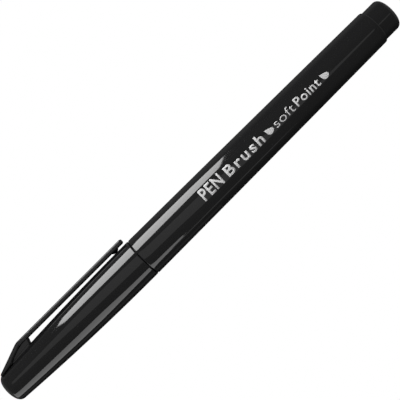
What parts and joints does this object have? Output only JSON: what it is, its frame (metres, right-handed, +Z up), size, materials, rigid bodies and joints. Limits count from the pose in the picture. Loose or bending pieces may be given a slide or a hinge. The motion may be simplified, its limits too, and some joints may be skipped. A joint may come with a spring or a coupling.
{
  "type": "brush pen",
  "caption": "Capped brush pen with a tapered barrel, a press-on cap with a side clip, an ink reservoir and a flexible felt brush tip.",
  "frame": {"origin": "centre of the flat end of the tail plug, on the pen's axis", "axes": "+X along the pen's axis from the tail to the writing tip and the closed end of the cap; +Z up with the pen lying on its side; the clip points to -Y and down"},
  "size_m": [0.14, 0.0133, 0.0116],
  "materials": {
    "barrel_plastic": "polished moulded black",
    "cap_plastic": "polished moulded black",
    "clip_plastic": "satin moulded black",
    "section_plastic": "satin moulded black",
    "liner_plastic": "natural polypropylene",
    "nib_felt": "ink-soaked bonded fibre",
    "reservoir_fibre": "ink-soaked fibre bundle",
    "reservoir_wrap": "clear film"
  },
  "bodies": {
    "pen": {"barrel": "barrel_plastic", "end_plug": "barrel_plastic", "front_section": "section_plastic", "nib_holder": "section_plastic", "nib_shank": "nib_felt", "reservoir_core": "reservoir_fibre", "reservoir_film": "reservoir_wrap", "breather_tube": "reservoir_wrap"},
    "cap": {"cap_shell": "cap_plastic", "inner_cap": "liner_plastic", "clip_root": "clip_plastic"},
    "clip": {"clip_arm": "clip_plastic"},
    "brush": {"brush_tip": "nib_felt"}
  },
  "joints": [
    {"name": "cap_pull", "type": "slide", "parent": "pen", "child": "cap", "axis": [1, 0, 0], "range_m": [0, 0.06]},
    {"name": "clip_flex", "type": "hinge", "parent": "cap", "child": "clip", "pos_m": [0.1261, -0.0059, -0.00371], "axis": [0, -0.5321, 0.8467], "range_deg": [0, 4], "stiffness_Nm_per_rad": 2.4, "springref_deg": -1.15},
    {"name": "brush_bend", "type": "hinge", "parent": "pen", "child": "brush", "pos_m": [0.1247, 0, 0], "axis": [0, 1, 0], "range_deg": [-20, 20], "stiffness_Nm_per_rad": 0.008}
  ]
}
